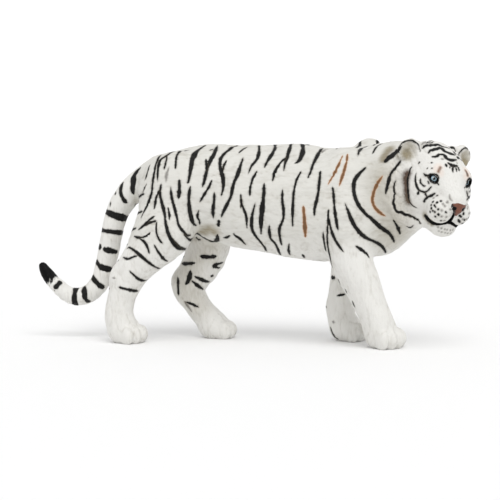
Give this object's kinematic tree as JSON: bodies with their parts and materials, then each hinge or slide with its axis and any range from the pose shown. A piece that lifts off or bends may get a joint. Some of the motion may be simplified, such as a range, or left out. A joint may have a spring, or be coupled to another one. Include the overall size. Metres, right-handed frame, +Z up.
{
  "type": "toy tiger figure",
  "caption": "Moulded plastic toy white tiger, painted with black and brown stripes, walking with its head turned to its right.",
  "frame": {"origin": "middle of the floor under the whole figure, at the height of the soles", "axes": "+X from the tail towards the chest, +Y to the animal's left, +Z up"},
  "size_m": [0.1484, 0.0436, 0.0691],
  "materials": {
    "coat_plastic": "satin off-white moulded plastic with painted black and brown stripes and a pale grey-beige wash in the hollows",
    "nose_paint": "brick-brown paint edged with black",
    "eye_paint": "glossy pale blue paint with a black pupil"
  },
  "bodies": {
    "root": {"trunk": "coat_plastic", "neck": "coat_plastic", "head": "coat_plastic", "jaw": "coat_plastic", "nose": "nose_paint", "ear_left": "coat_plastic", "ear_right": "coat_plastic", "eye_left": "eye_paint", "eye_right": "eye_paint", "foreleg_left": "coat_plastic", "foreleg_right": "coat_plastic", "hindleg_left": "coat_plastic", "hindleg_right": "coat_plastic", "forepaw_left": "coat_plastic", "forepaw_right": "coat_plastic", "hindpaw_left": "coat_plastic", "hindpaw_right": "coat_plastic", "tail_base": "coat_plastic", "tail_middle": "coat_plastic", "tail_tip": "coat_plastic"}
  },
  "joints": []
}
